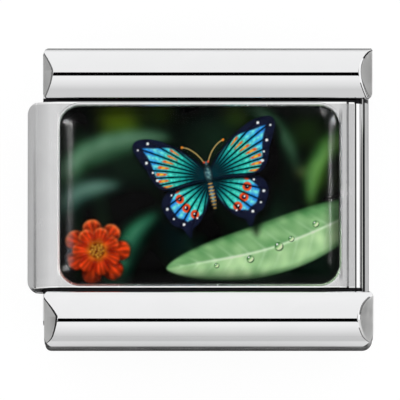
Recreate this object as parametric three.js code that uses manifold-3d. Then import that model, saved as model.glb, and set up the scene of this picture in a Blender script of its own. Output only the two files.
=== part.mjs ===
// One link of a modular charm bracelet. Its face sleeve carries a covering sheet with a window, a picture
// panel under a clear dome, and two rounded rails. Four U-shaped clips join it to the back sleeve, and a
// leaf spring in each sleeve holds them upright. Millimetres; +X runs along the bracelet, +Y across it and
// +Z out of the face. The link lies on its back, with the origin under the middle of its box.

import * as THREE from "three";
import { mergeVertices } from "three/addons/utils/BufferGeometryUtils.js";
import Module from "manifold-3d";

// Driving dimensions
const HALF_LENGTH = 5.14; // from the origin to the nose on the left, and to the rails' ends on the right
const SLIP = 0.02; // between pieces that lie on one another
const CURVE_SEGMENTS = 6; // ExtrudeGeometry makes twice as many steps along each arc

const BACK = { left: -4.64, right: 5.04, bottom: 0, top: 1.5, wall: 0.25 };
const BACK_SEAM = { at: 1.3, width: 0.06 };
const LAYER_GAP = 0.2; // between the back sleeve and the face above it
const SLEEVE_HALF_WIDTH = 3.75;

const COVER_SHEET = 0.16;
const COVER_TOP = 3.6;
const COVER_HALF_WIDTH = 2.79;
const COVER_RIGHT = 4.62;
const COVER_STEP = { at: 4.385, run: 0.05, drop: 0.07 }; // the sheet is thinned to a ledge at its right edge
const COVER_HEM = 4.1; // where the sheet ends underneath
const NOSE_CORNER = 0.3;

const FACE_WALL = 0.2;
const FACE_RIGHT = 4.86;
const FACE_CORNER = 0.245;

const WINDOW = { halfLength: 4.15, halfWidth: 2.65, corner: 0.6 };
const PANEL_THICKNESS = 0.06;
const DOME = { edge: 0.36, shoulder: 0.2, crown: 0.1, rim: 0.04 };
const DOME_STEPS = { edge: 6, crown: 5 };

const RAIL = { left: -4.67, inner: 2.9, outer: 4.45, skirt: 0.3, end: 0.3, corner: 0.18 };
const CROWN = { y: 3.69, top: 4.11, radius: 0.88, turn: THREE.MathUtils.degToRad(40), wallTop: 2.85 };
const RAIL_FACETS = [
  { at: RAIL.left, inward: 1, run: 0.32, foot: 3.71 }, // the ends slope back over this run, from this height
  { at: HALF_LENGTH, inward: -1, run: 0.34, foot: 3.7 },
];

const CLIP = { width: 1.4, strip: 0.28, reach: 1.6, web: 4.1, bend: 0.06 };
const CLIP_AT = { left: -2.62, right: 2.3 }; // the leg axes along X
const SPRING = { strip: 0.08, halfWidth: 3.6, seat: 1.7, tip: 0.22, lift: 0.03, steps: 28 };

// Heights and edges worked out from them
const faceBottom = BACK.top + LAYER_GAP;
const noseRadius = (COVER_TOP - faceBottom) / 2;
const nose = { x: noseRadius - HALF_LENGTH, z: faceBottom + noseRadius };
const sleeveTop = COVER_TOP - COVER_SHEET - SLIP;
const sleeveBottom = faceBottom + COVER_SHEET + SLIP;
const sleeveLeft = COVER_SHEET + SLIP - HALF_LENGTH;
const bedTop = sleeveTop + SLIP; // what lies on the face sleeve starts here
const upperLegZ = (sleeveTop + sleeveBottom) / 2;
const lowerLegZ = (BACK.bottom + BACK.top) / 2;

const wasm = await Module();
wasm.setup();

const steel = (color, roughness) => new THREE.MeshStandardMaterial({ color, roughness, metalness: 1 });
const polished = steel("#e3e4e5", 0.12);
const satin = steel("#c9cacb", 0.34);
const drawn = steel("#b4b5b6", 0.42);
const spring = steel("#9c9d9c", 0.3);
const picture = new THREE.MeshStandardMaterial({ color: "#23503c", roughness: 0.5, metalness: 0 });
const clear = new THREE.MeshStandardMaterial({
  color: "#f4f8f7",
  roughness: 0.05,
  metalness: 0,
  transparent: true,
  opacity: 0.35,
});

// Solids and outlines

function solid(geometry) {
  geometry.deleteAttribute("normal");
  geometry.deleteAttribute("uv");
  const merged = mergeVertices(geometry, 1e-4);
  return new wasm.Manifold(
    new wasm.Mesh({
      numProp: 3,
      vertProperties: merged.attributes.position.array,
      triVerts: Uint32Array.from(merged.index.array),
    }),
  );
}

function meshOf(name, manifold, material) {
  const { vertProperties, triVerts } = manifold.getMesh();
  const geometry = new THREE.BufferGeometry();
  geometry.setAttribute("position", new THREE.BufferAttribute(vertProperties, 3));
  geometry.setIndex(new THREE.BufferAttribute(triVerts, 1));
  geometry.computeVertexNormals();
  const mesh = new THREE.Mesh(geometry, material);
  mesh.name = name;
  return mesh;
}

const UNIT = { x: new THREE.Vector3(1, 0, 0), y: new THREE.Vector3(0, 1, 0), z: new THREE.Vector3(0, 0, 1) };
const DRAWN_IN = {
  xy: new THREE.Matrix4(),
  yz: new THREE.Matrix4().makeBasis(UNIT.y, UNIT.z, UNIT.x),
  xz: new THREE.Matrix4().makeBasis(UNIT.x, UNIT.z, UNIT.y.clone().negate()),
};

// An outline drawn in one plane, run out square to it between two places.
function prism(outline, plane, from, to) {
  const geometry = new THREE.ExtrudeGeometry(outline, {
    depth: to - from,
    bevelEnabled: false,
    curveSegments: CURVE_SEGMENTS,
  });
  geometry.translate(0, 0, plane === "xz" ? -to : from);
  return solid(geometry.applyMatrix4(DRAWN_IN[plane]));
}

function block([x0, x1], [y0, y1], [z0, z1]) {
  const geometry = new THREE.BoxGeometry(x1 - x0, y1 - y0, z1 - z0);
  return solid(geometry.translate((x0 + x1) / 2, (y0 + y1) / 2, (z0 + z1) / 2));
}

const polygon = (points) => new THREE.Shape(points.map(([u, v]) => new THREE.Vector2(u, v)));

// A rectangle whose corners are rounded at the left and the right, or square where the radius is 0.
function roundedRect(left, right, low, high, leftCorner, rightCorner = leftCorner) {
  const quarter = Math.PI / 2;
  const corners = [
    [right - rightCorner, low + rightCorner, rightCorner],
    [right - rightCorner, high - rightCorner, rightCorner],
    [left + leftCorner, high - leftCorner, leftCorner],
    [left + leftCorner, low + leftCorner, leftCorner],
  ];
  const outline = new THREE.Shape();
  outline.moveTo(left + leftCorner, low);
  corners.forEach(([u, v, radius], i) => {
    if (radius > 0) outline.absarc(u, v, radius, (i - 1) * quarter, i * quarter);
    else outline.lineTo(u, v);
  });
  return outline;
}

// The sleeves are flattened tubes, open at both sides of the bracelet.
function tube(left, right, bottom, top, wall, leftCorner, rightCorner) {
  const outline = roundedRect(left, right, bottom, top, leftCorner, rightCorner);
  const [leftInside, rightInside] = [leftCorner - wall, rightCorner - wall];
  outline.holes.push(
    roundedRect(left + wall, right - wall, bottom + wall, top - wall, leftInside, rightInside),
  );
  return prism(outline, "xz", -SLEEVE_HALF_WIDTH, SLEEVE_HALF_WIDTH);
}

function backSleeve() {
  const { left, right, bottom, top, wall } = BACK;
  const round = (top - bottom) / 2;
  const seam = block(
    [BACK_SEAM.at, BACK_SEAM.at + BACK_SEAM.width],
    [-HALF_LENGTH, HALF_LENGTH],
    [bottom - wall, bottom + 1.5 * wall],
  );
  return tube(left, right, bottom, top, wall, round, round).subtract(seam);
}

// Beside the nose the sleeve is as narrow as the covering sheet, to fit between the next link's rails.
function faceSleeve() {
  const round = (sleeveTop - sleeveBottom) / 2;
  let sleeve = tube(sleeveLeft, FACE_RIGHT, sleeveBottom, sleeveTop, FACE_WALL, round, FACE_CORNER);
  for (const side of [-1, 1]) {
    const y = [side * (COVER_HALF_WIDTH - SLIP), side * HALF_LENGTH].sort((a, b) => a - b);
    sleeve = sleeve.subtract(block([-2 * HALF_LENGTH, RAIL.left], y, [0, 2 * COVER_TOP]));
  }
  return sleeve;
}

// The covering sheet lies on the sleeve, wraps round its nose and ends in a hem underneath.
function faceCover() {
  const quarter = Math.PI / 2;
  const ledge = COVER_TOP - COVER_STEP.drop;
  const profile = new THREE.Shape();
  profile.moveTo(COVER_RIGHT, bedTop);
  profile.lineTo(COVER_RIGHT, ledge);
  profile.lineTo(COVER_STEP.at + COVER_STEP.run, ledge);
  profile.lineTo(COVER_STEP.at, COVER_TOP);
  profile.absarc(nose.x, nose.z, noseRadius, quarter, 3 * quarter);
  profile.lineTo(COVER_HEM, faceBottom);
  profile.lineTo(COVER_HEM, faceBottom + COVER_SHEET);
  profile.absarc(nose.x, nose.z, noseRadius - COVER_SHEET, 3 * quarter, quarter, true);
  const plan = roundedRect(-HALF_LENGTH, HALF_LENGTH, -COVER_HALF_WIDTH, COVER_HALF_WIDTH, NOSE_CORNER, 0);
  return prism(profile, "xz", -HALF_LENGTH, HALF_LENGTH)
    .intersect(prism(plan, "xy", -1, 2 * COVER_TOP))
    .subtract(prism(windowOutline(SLIP), "xy", sleeveTop - SLIP, 2 * COVER_TOP));
}

// The window's outline, made larger all round by grow.
function windowOutline(grow) {
  const length = WINDOW.halfLength + grow;
  const width = WINDOW.halfWidth + grow;
  return roundedRect(-length, length, -width, width, WINDOW.corner + grow);
}

// The dome is a turned profile whose round rings are drawn out to the window's outline: rings of the rounded
// edge are set in from that outline, and the rings of the crown shrink from the last of them to the middle.
function clearDome() {
  const { edge, crown } = DOME_STEPS;
  const base = bedTop + PANEL_THICKNESS + SLIP;
  const shoulder = base + DOME.rim + DOME.shoulder;
  const rings = [{ inset: 0, scale: 0, z: base }, { inset: 0, scale: 1, z: base }];
  for (let i = 0; i <= edge; i++) {
    const turn = (i / edge) * (Math.PI / 2);
    rings.push({
      inset: DOME.edge * (1 - Math.cos(turn)),
      scale: 1,
      z: shoulder - DOME.shoulder * (1 - Math.sin(turn)),
    });
  }
  for (let i = crown - 1; i >= 0; i--) {
    const scale = i / crown;
    rings.push({ inset: DOME.edge, scale, z: shoulder + DOME.crown * (1 - scale * scale) });
  }
  const outlines = rings.map(({ inset }) => windowOutline(-inset).getPoints(CURVE_SEGMENTS));
  const round = outlines[0].length;
  const profile = rings.map(({ scale, z }) => new THREE.Vector2(scale, z));
  const geometry = new THREE.LatheGeometry(profile, round);
  const position = geometry.attributes.position;
  for (let k = 0; k < position.count; k++) {
    const j = k % rings.length;
    const { x, y } = outlines[j][Math.floor(k / rings.length) % round];
    position.setXYZ(k, rings[j].scale * x, rings[j].scale * y, rings[j].z);
  }
  return solid(geometry);
}

// A rounded bar on the sleeve's top, with a skirt that hides the clips and sloped facets at its ends. Its
// crown is an arc that runs straight on down to the inner edge, and bends over into the outer wall.
function rail() {
  const { left, inner, outer, skirt, end, corner } = RAIL;
  const { y: crown, top, radius, turn, wallTop } = CROWN;
  const reach = radius * Math.sin(turn);
  const arcEnd = top - radius * (1 - Math.cos(turn));
  const profile = new THREE.Shape();
  profile.moveTo(outer, faceBottom);
  profile.lineTo(outer - skirt, faceBottom);
  profile.lineTo(outer - skirt, bedTop);
  profile.lineTo(inner, bedTop);
  profile.lineTo(inner, arcEnd - (crown - reach - inner) * Math.tan(turn));
  profile.absarc(crown, top - radius, radius, Math.PI / 2 + turn, Math.PI / 2 - turn, true);
  const shoulder = arcEnd - (outer - crown - reach) * Math.tan(turn);
  profile.quadraticCurveTo(outer, shoulder, outer, wallTop);
  let bar = prism(profile, "yz", left, HALF_LENGTH);
  const pocket = [SLEEVE_HALF_WIDTH + SLIP, outer - skirt / 2];
  for (const cap of [[left, left + end], [HALF_LENGTH - end, HALF_LENGTH]]) {
    bar = bar.add(block(cap, pocket, [faceBottom, bedTop + SLIP]));
  }
  for (const { at, inward, run, foot } of RAIL_FACETS) {
    const slope = (top - foot) / run;
    const above = polygon([
      [at - inward, foot - slope],
      [at + inward, foot + slope],
      [at - inward, foot + slope],
    ]);
    bar = bar.subtract(prism(above, "xz", 0, HALF_LENGTH));
  }
  const plan = roundedRect(left, HALF_LENGTH, inner, outer, corner);
  return bar.intersect(prism(plan, "xy", 0, 2 * COVER_TOP));
}

// A strip bent to a U: one leg in each sleeve, and the web beside them.
function clip(x) {
  const { width, strip, reach, web, bend } = CLIP;
  const high = upperLegZ + strip / 2;
  const low = lowerLegZ - strip / 2;
  const outside = roundedRect(reach, web, low, high, 0, bend + strip);
  const inside = roundedRect(0, web - strip, low + strip, high - strip, 0, bend);
  return prism(outside, "yz", x - width / 2, x + width / 2).subtract(
    prism(inside, "yz", x - width, x + width),
  );
}

// A leaf spring lies along its sleeve, its middle near the floor and a flat seat under each pair of legs.
function leafSpring(floor, legZ) {
  const { strip, halfWidth, seat, tip, lift, steps } = SPRING;
  const middle = (CLIP_AT.left + CLIP_AT.right) / 2;
  const toLegs = CLIP_AT.right - middle;
  const start = toLegs - seat / 2;
  const half = toLegs + seat / 2;
  const low = floor + lift;
  const high = legZ - CLIP.strip / 2 - lift - strip;
  const under = (distance) => {
    if (distance < start) {
      return low + ((high - low) * (1 - Math.cos((Math.PI * distance) / start))) / 2;
    }
    const past = Math.max(distance - (half - tip), 0) / tip;
    return high - ((high - low) * past * past) / 2;
  };
  const points = [];
  for (let i = 0; i <= steps; i++) {
    const offset = half * ((2 * i) / steps - 1);
    points.push([middle + offset, under(Math.abs(offset))]);
  }
  const over = points.map(([x, z]) => [x, z + strip]).reverse();
  return prism(polygon([...points, ...over]), "xz", -halfWidth, halfWidth);
}

// The link

const charmLink = new THREE.Group();
charmLink.add(
  meshOf("back_sleeve", backSleeve(), satin),
  meshOf("face_sleeve", faceSleeve(), satin),
  meshOf("face_cover", faceCover(), satin),
  meshOf("picture_panel", prism(windowOutline(0), "xy", bedTop, bedTop + PANEL_THICKNESS), picture),
  meshOf("clear_dome", clearDome(), clear),
  meshOf("leaf_spring_face", leafSpring(sleeveBottom + FACE_WALL, upperLegZ), spring),
  meshOf("leaf_spring_back", leafSpring(BACK.bottom + BACK.wall, lowerLegZ), spring),
);

// The rails and clips of the lower edge mirror those of the upper one.
for (const [edge, side] of [["upper", 1], ["lower", -1]]) {
  const pieces = new THREE.Group();
  pieces.scale.y = side;
  pieces.add(meshOf(`rail_${edge}`, rail(), polished));
  for (const [end, x] of Object.entries(CLIP_AT)) {
    pieces.add(meshOf(`clip_${end}_${edge}`, clip(x), drawn));
  }
  charmLink.add(pieces);
}

export default charmLink;
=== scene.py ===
"""Looks for one link of a modular charm bracelet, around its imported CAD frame.

Every mesh is built in millimetres in the frame's own axes, and made() scales it to metres at the end.
+X runs along the bracelet, +Y across it and +Z out of the face.
"""

import math
from collections import namedtuple
from functools import reduce

import bmesh
import bpy
import numpy as np
from mathutils import Matrix, Vector


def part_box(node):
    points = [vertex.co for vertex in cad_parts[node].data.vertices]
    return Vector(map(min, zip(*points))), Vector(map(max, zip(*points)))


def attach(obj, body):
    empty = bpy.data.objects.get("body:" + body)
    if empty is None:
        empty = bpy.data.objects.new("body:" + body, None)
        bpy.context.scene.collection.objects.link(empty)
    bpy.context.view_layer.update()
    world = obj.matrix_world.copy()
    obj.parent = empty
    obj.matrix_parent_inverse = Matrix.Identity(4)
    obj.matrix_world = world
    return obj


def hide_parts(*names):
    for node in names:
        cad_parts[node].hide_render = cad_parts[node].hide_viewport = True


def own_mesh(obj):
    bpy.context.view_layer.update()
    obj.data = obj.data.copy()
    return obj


MM = 0.001

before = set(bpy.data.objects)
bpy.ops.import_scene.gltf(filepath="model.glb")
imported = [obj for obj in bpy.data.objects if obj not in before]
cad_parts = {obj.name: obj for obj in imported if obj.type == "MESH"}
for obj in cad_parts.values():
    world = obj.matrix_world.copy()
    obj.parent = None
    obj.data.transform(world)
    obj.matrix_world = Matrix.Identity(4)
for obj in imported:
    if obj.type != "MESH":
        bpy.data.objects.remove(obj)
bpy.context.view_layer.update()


def box(node):
    """A CAD node's lowest and highest corners at rest, in millimetres."""
    low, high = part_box(node)
    return low / MM, high / MM


# Sizes in millimetres, from the frame's boxes and the drawing of the link.
SLIP = 0.02
COVER_LOW, COVER_HIGH = box("face_cover")
SLEEVE_LOW, SLEEVE_HIGH = box("face_sleeve")
BACK_LOW, BACK_HIGH = box("back_sleeve")
PANEL_LOW, PANEL_HIGH = box("picture_panel")
DOME_LOW, DOME_HIGH = box("clear_dome")
RAIL_LOW, RAIL_HIGH = box("rail_upper")

COVER_SHEET = 0.16
COVER_STEP = 4.38
COVER_STEP_RUN = 0.075
COVER_STEP_DROP = 0.081
COVER_HEM = 4.1
COVER_SHIFT = 0.01  # how far the sheet sits off the middle, towards +Y
NOSE_CORNER = 0.3
NOSE_RADIUS = (COVER_HIGH.z - COVER_LOW.z) / 2
NOSE_X = COVER_LOW.x + NOSE_RADIUS
NOSE_Z = COVER_LOW.z + NOSE_RADIUS

FACE_WALL = 0.2
FACE_CORNER = 0.235
BACK_WALL = 0.25
BACK_REACH = 0.03  # how far it reaches past the solid's right end
BACK_SEAM = 1.3
BACK_SEAM_WIDTH = 0.06

WINDOW_CORNER = 0.6
RIM = {"slope": 0.085, "drop": 0.05, "roll": 0.025}

RAIL_SKIRT = 0.3
RAIL_END = 0.3
CROWN_Y = 3.69
CROWN_RADIUS = 0.88
CROWN_TURN = math.radians(40)
CROWN_WALL_TOP = 2.85

CLIP_STRIP = 0.28
CLIP_BEND = 0.06
SPRING_STRIP = 0.08

ROLL = {"sheet": 0.012, "sleeve": 0.02, "clip": 0.03, "spring": 0.015}  # of the softened edges
BEYOND = 9  # for cuts that pass right through
ARC_STEPS = 40  # along half a turn
SLEEVE_STEPS = 24  # along a quarter turn
ROLL_STEPS = 4  # across a softened edge


# Outlines, as points in a plane


def arc(centre, radii, start, end, steps=ARC_STEPS):
    """Points along part of an ellipse, between two angles in degrees."""
    turns = np.radians(np.linspace(start, end, steps + 1))
    return [(centre[0] + radii[0] * math.cos(t), centre[1] + radii[1] * math.sin(t)) for t in turns]


def rounded_rect(left, right, low, high, left_corner, right_corner=None, steps=ARC_STEPS // 2):
    """A rectangle with its corners rounded at the left and the right, run anticlockwise."""
    if right_corner is None:
        right_corner = left_corner
    points = []
    for u, v, corner, start in (
        (right - right_corner, low + right_corner, right_corner, -90),
        (right - right_corner, high - right_corner, right_corner, 0),
        (left + left_corner, high - left_corner, left_corner, 90),
        (left + left_corner, low + left_corner, left_corner, 180),
    ):
        points += arc((u, v), (corner, corner), start, start + 90, steps)
    return points


def bezier(a, b, c, steps):
    """Points along a quadratic curve from a to c, pulled towards b."""
    share = np.linspace(0, 1, steps + 1)[:, None]
    a, b, c = np.array(a), np.array(b), np.array(c)
    return ((1 - share) ** 2 * a + 2 * share * (1 - share) * b + share**2 * c).tolist()


def filleted(corners, steps=6):
    """A closed outline from corners (u, v, radius)."""
    points = []
    for i, (u, v, radius) in enumerate(corners):
        here = Vector((u, v))
        if not radius:
            points.append((u, v))
            continue
        back = (Vector(corners[i - 1][:2]) - here).normalized()
        on = (Vector(corners[(i + 1) % len(corners)][:2]) - here).normalized()
        half = back.angle(on) / 2
        centre = here + (back + on).normalized() * (radius / math.sin(half))
        start = here + back * (radius / math.tan(half)) - centre
        sweep = start.angle_signed(here + on * (radius / math.tan(half)) - centre)
        for t in np.linspace(0, 1, steps + 1):
            turn = Matrix.Rotation(-sweep * t, 2)
            points.append(tuple(centre + turn @ start))
    return points


def inset(loop, distance):
    """Moves a closed outline in by a distance, or out if it is negative."""
    moved = np.linalg.norm(loop - np.roll(loop, 1, 0), axis=1) > 1e-6
    moved[0] = True
    core = loop[moved]
    ahead = np.roll(core, -1, 0) - core
    ahead /= np.linalg.norm(ahead, axis=1)[:, None]
    normals = np.stack([-ahead[:, 1], ahead[:, 0]], 1)
    both = normals + np.roll(normals, 1, 0)
    both /= np.linalg.norm(both, axis=1)[:, None]
    reach = np.clip((both * normals).sum(1), 0.5, 1)
    core = core + both * (distance / reach)[:, None]
    return core[np.cumsum(moved) - 1]


# Meshes

AXES = {
    "x": Matrix(((0, 0, 1), (1, 0, 0), (0, 1, 0))),
    "y": Matrix(((1, 0, 0), (0, 0, -1), (0, 1, 0))),
    "z": Matrix.Identity(3),
}


def placed(name, data):
    """A new object in the scene."""
    obj = bpy.data.objects.new(name, data)
    bpy.context.scene.collection.objects.link(obj)
    return obj


def as_object(bm, name):
    mesh = bpy.data.meshes.new(name)
    bm.to_mesh(mesh)
    bm.free()
    return placed(name, mesh)


def cleaned(bm):
    bmesh.ops.remove_doubles(bm, verts=bm.verts, dist=2e-5)
    bmesh.ops.dissolve_degenerate(bm, dist=1e-5, edges=bm.edges)


def edited(obj, edit):
    """Changes obj's mesh by edit(bm)."""
    bm = bmesh.new()
    bm.from_mesh(obj.data)
    edit(bm)
    bm.to_mesh(obj.data)
    bm.free()
    return obj


def stacked(loops, axis, ring=False, finish=None):
    """A closed solid through outlines (position along the axis, points square to it), joined in turn.

    The first and last are filled in, or joined to each other where ring is set. finish(i, j) gives the
    number of the material between outlines i and i + 1, at point j.
    """
    bm = bmesh.new()
    sign = -1 if axis == "y" else 1
    rings = [
        [bm.verts.new(AXES[axis] @ Vector((u, v, sign * position))) for u, v in points]
        for position, points in loops
    ]
    count = len(rings[0])
    for i in range(len(rings) if ring else len(rings) - 1):
        near, far = rings[i], rings[(i + 1) % len(rings)]
        for j in range(count):
            k = (j + 1) % count
            face = bm.faces.new((near[j], near[k], far[k], far[j]))
            if finish:
                face.material_index = finish(i, j)
    if not ring:
        for end in (rings[0][::-1], rings[-1]):
            face = bm.faces.new(end)
            if finish:
                face.material_index = finish(-1, 0)
    cleaned(bm)
    bmesh.ops.recalc_face_normals(bm, faces=bm.faces)
    return as_object(bm, "solid")


def rolled(start, end, roll):
    """Places from start to end, each with how far the outline stands in there, for softened ends."""
    turns = np.radians(np.linspace(90, 0, ROLL_STEPS + 1))
    first = [(start + roll * (1 - math.sin(t)), roll * (1 - math.cos(t))) for t in turns]
    return first + [(start + end - at, inward) for at, inward in reversed(first)]


def swept(outline, axis, start, end, roll=0.0, between=(), shape=None):
    """A solid: an outline run along an axis, with softened ends, and shaped on the way by shape()."""
    stations = rolled(start, end, roll) if roll else [(start, 0.0), (end, 0.0)]
    stations = sorted(stations + [(at, 0.0) for at in between])
    loops = []
    for at, inward in stations:
        loop = np.array(outline, dtype=float)
        if shape:
            loop = shape(loop, min(max(at, start + roll), end - roll))
        loops.append((at, inset(loop, inward) if inward else loop))
    return stacked(loops, axis)


def tube(outside, inside, axis, start, end, roll):
    """A tube through two outlines with as many points, open and softened at both ends."""
    stations = rolled(start, end, roll)
    outside, inside = np.array(outside), np.array(inside)
    loops = [(at, inset(outside, inward)) for at, inward in stations]
    loops += [(at, inset(inside, -inward)) for at, inward in reversed(stations)]
    return stacked(loops, axis, ring=True)


def block(x, y, z):
    return swept([(x[0], y[0]), (x[1], y[0]), (x[1], y[1]), (x[0], y[1])], "z", *z)


def settled(obj):
    """Puts the result of obj's modifiers into its mesh."""
    graph = bpy.context.evaluated_depsgraph_get()
    mesh = bpy.data.meshes.new_from_object(obj.evaluated_get(graph))
    obj.modifiers.clear()
    obj.data = mesh
    return obj


def cut(obj, *others):
    """Cuts other solids out of obj, and uses them up."""
    for other in others:
        modifier = obj.modifiers.new("cut", "BOOLEAN")
        modifier.operation = "DIFFERENCE"
        modifier.object = other
        modifier.solver = "EXACT"
    settled(obj)
    for other in others:
        bpy.data.objects.remove(other)
    return edited(obj, cleaned)


def made(obj, name, body, slot, materials, *nodes, sharp=40):
    """Finishes a piece: materials, smooth faces with even normals, metres, name, body and nodes. The slot
    is not used.
    """
    obj.name = obj.data.name = name
    for material in materials:
        obj.data.materials.append(material)
    obj.data.shade_smooth()
    obj.data.set_sharp_from_angle(angle=math.radians(sharp))
    modifier = obj.modifiers.new("even normals", "WEIGHTED_NORMAL")
    modifier.keep_sharp = True
    modifier.weight = 80
    settled(obj)
    obj.data.transform(Matrix.Scale(MM, 4))
    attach(obj, body)
    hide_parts(*nodes)
    return obj


def mirrored(obj):
    """Turns a piece of the upper edge into its mirror image for the lower edge."""

    def flip(bm):
        bmesh.ops.scale(bm, vec=(1, -1, 1), verts=bm.verts)
        bmesh.ops.reverse_faces(bm, faces=bm.faces)

    return edited(obj, flip)


# Materials. A function that is given a node's output adds its own nodes to that output's tree.

X, Y, Z = 0, 1, 2


def tree_of(owner):
    """The emptied node tree of a material, world or light."""
    owner.use_nodes = True
    owner.node_tree.nodes.clear()
    return owner.node_tree


def material_of(name):
    """A new material, its empty node tree, and the places on its surface."""
    material = bpy.data.materials.new(name)
    tree = tree_of(material)
    return material, tree, node(tree, "TexCoord", out="Object")


def node(tree, kind, inputs=(), out=0, **settings):
    """Adds a node and gives one output. Inputs go by name or number, and are values or outputs."""
    made_node = tree.nodes.new("ShaderNode" + kind)
    for key, value in settings.items():
        setattr(made_node, key, value)
    for key, value in dict(inputs).items():
        socket = made_node.inputs[key]
        if isinstance(value, bpy.types.NodeSocket):
            tree.links.new(value, socket)
        else:
            socket.default_value = value
    return made_node.outputs[out]


def shaded(shader, output="OutputMaterial"):
    """Ends a node tree with this shader."""
    tree = shader.id_data
    tree.links.new(shader, tree.nodes.new("ShaderNode" + output).inputs[0])


def principled(tree, height, bump, inputs):
    """Ends a node tree with a surface whose relief is so many millimetres deep."""
    relief = node(tree, "Bump", {"Height": height, "Strength": 1.0, "Distance": bump * MM})
    shaded(node(tree, "BsdfPrincipled", {**inputs, "Normal": relief}))


def for_camera(rest, seen):
    """One shader for what the camera sees, and the other for the rest."""
    direct = node(rest.id_data, "LightPath", out="Is Camera Ray")
    return node(rest.id_data, "MixShader", {0: direct, 1: rest, 2: seen})


def noise(place, stretch, detail, distortion=0):
    """Noise with features of these sizes, in millimetres, along X, Y and Z."""
    scaled = node(place.id_data, "Mapping", {"Vector": place, "Scale": [1 / (MM * s) for s in stretch]})
    settings = {"Scale": 1.0, "Detail": detail, "Roughness": 0.55, "Distortion": distortion}
    return node(place.id_data, "TexNoise", {"Vector": scaled, **settings}, "Fac")


def ranged(value, low, high, start=0.3, end=0.7, smooth=False):
    """Value, spread from start..end to low..high and held there outside."""
    inputs = {"Value": value, "From Min": start, "From Max": end, "To Min": low, "To Max": high}
    kind = "SMOOTHSTEP" if smooth else "LINEAR"
    return node(value.id_data, "MapRange", inputs, interpolation_type=kind)


def maths(operation, *values):
    """Values joined in turn by an operation. One of them at least is an output."""
    tree = next(value.id_data for value in values if isinstance(value, bpy.types.NodeSocket))
    return reduce(lambda a, b: node(tree, "Math", {0: a, 1: b}, operation=operation), values)


def absolute(value):
    return node(value.id_data, "Math", {0: value}, operation="ABSOLUTE")


def xyz(place):
    return node(place.id_data, "SeparateXYZ", {0: place}).node.outputs


def tint(factor, dark, light):
    """A colour between two, by a factor from 0 to 1. Each is a tuple or an output."""
    ends = [c if isinstance(c, bpy.types.NodeSocket) else (*c, 1) for c in (dark, light)]
    return node(factor.id_data, "Mix", {0: factor, 6: ends[0], 7: ends[1]}, 2, data_type="RGBA")


def near_plane(place, axis, at, reach, fade=0.02, both_sides=False):
    """1 within reach of a plane square to an axis, falling to 0 over fade. Millimetres."""
    value = xyz(place)[axis]
    value = absolute(value) if both_sides else value
    away = absolute(maths("SUBTRACT", value, at * MM))
    return ranged(away, 1, 0, reach * MM, (reach + fade) * MM, smooth=True)


def share_in(place, regions):
    """How far a surface lies in any of these regions, each of them planes near by, and a strength."""
    shares = []
    for *planes, strength in regions:
        shares.append(maths("MULTIPLY", *[near_plane(place, *plane) for plane in planes], strength))
    return maths("MAXIMUM", *shares)


# Painted shade, near black, and a lighter painted highlight, with the glosses of the highlighted regions.
PAINTED_SHADE = (0.012, 0.012, 0.013)
PAINTED_HIGHLIGHT = (0.96, 0.96, 0.96)
BURNISH_GLOSS = 0.08
MATT_GLOSS = 0.5
SMUDGE = (1.6, 1.1, 1.3)


def steel(name, colour, roughness, grain, bump, spread=0.05, shade=0.03, painted_shade=(), bright=(), matt=()):
    """Bare steel: a grain of these sizes along X, Y and Z in its relief and gloss, and soft smudges.

    Regions of painted shade turn near black; bright regions get a lighter painted highlight with a
    burnished gloss, and matt ones the same painted highlight with a matt finish.
    """
    material, tree, place = material_of(name)
    grained = noise(place, grain, 4)
    smudge = noise(place, SMUDGE, 2, 0.6)
    gloss = ranged(grained, roughness - spread, roughness + spread)
    gloss = maths("ADD", gloss, ranged(smudge, -spread / 2, spread / 2))
    dark, light = ([min(c * (1 + way * shade), 1) for c in colour] for way in (-1, 1))
    shown = tint(ranged(smudge, 0, 1), dark, light)
    # bright and matt regions: a lighter painted highlight, each with its own gloss
    for regions, level in ((bright, BURNISH_GLOSS), (matt, MATT_GLOSS)):
        if regions:
            share = share_in(place, regions)
            shown = tint(share, shown, PAINTED_HIGHLIGHT)
            gloss = node(tree, "Mix", {0: share, 2: gloss, 3: level})
    # painted shade, near black
    if painted_shade:
        shown = tint(share_in(place, painted_shade), shown, PAINTED_SHADE)
    principled(tree, grained, bump, {"Base Color": shown, "Metallic": 1.0, "Roughness": gloss})
    return material


# Regions of painted shade, and of a lighter painted highlight with another gloss, as planes and a strength.
# A plane is its axis, its place, how far the region reaches from it, how softly that ends, and whether it
# is on both sides of the middle.
GROOVE = ((COVER_HIGH.y + RAIL_LOW.y) / 2, (RAIL_LOW.y - COVER_HIGH.y) / 2)  # its middle and half width
BACK_GROOVE = 3.12  # where the back sleeve lies in the upper rail's shadow
SLEEVE_TOP = (Z, SLEEVE_HIGH.z, 0.3, 0.1)

ON_SLEEVES = [
    # painted shade in the grooves beside the rails
    (
        (Y, GROOVE[0], GROOVE[1] + 0.015, 0.03, True),
        (X, COVER_HIGH.x, COVER_HIGH.x - RAIL_LOW.x + 0.05, 0.15),
        SLEEVE_TOP,
        1,
    ),
    # painted shade under the covering sheet, and a painted shadow line at its right edge
    ((X, 0, COVER_HIGH.x - 0.1, 0.05), (Y, 0, COVER_HIGH.y - 0.05), SLEEVE_TOP, 1),
    ((X, COVER_HIGH.x + 0.03, 0.013, 0.014), (Z, SLEEVE_HIGH.z, 0.03, 0.03), 1),
    # painted shade on the back sleeve: beyond the face sleeve's end, and below the rail's
    ((X, SLEEVE_HIGH.x + 0.068, 0.018), (Z, BACK_HIGH.z, 0.5, 0.1), 1),
    ((Y, BACK_GROOVE, 0.05), (X, BACK_HIGH.x, 0.12, 0.04), (Z, BACK_HIGH.z - 0.44, 0.13, 0.04), 1),
]
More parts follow.
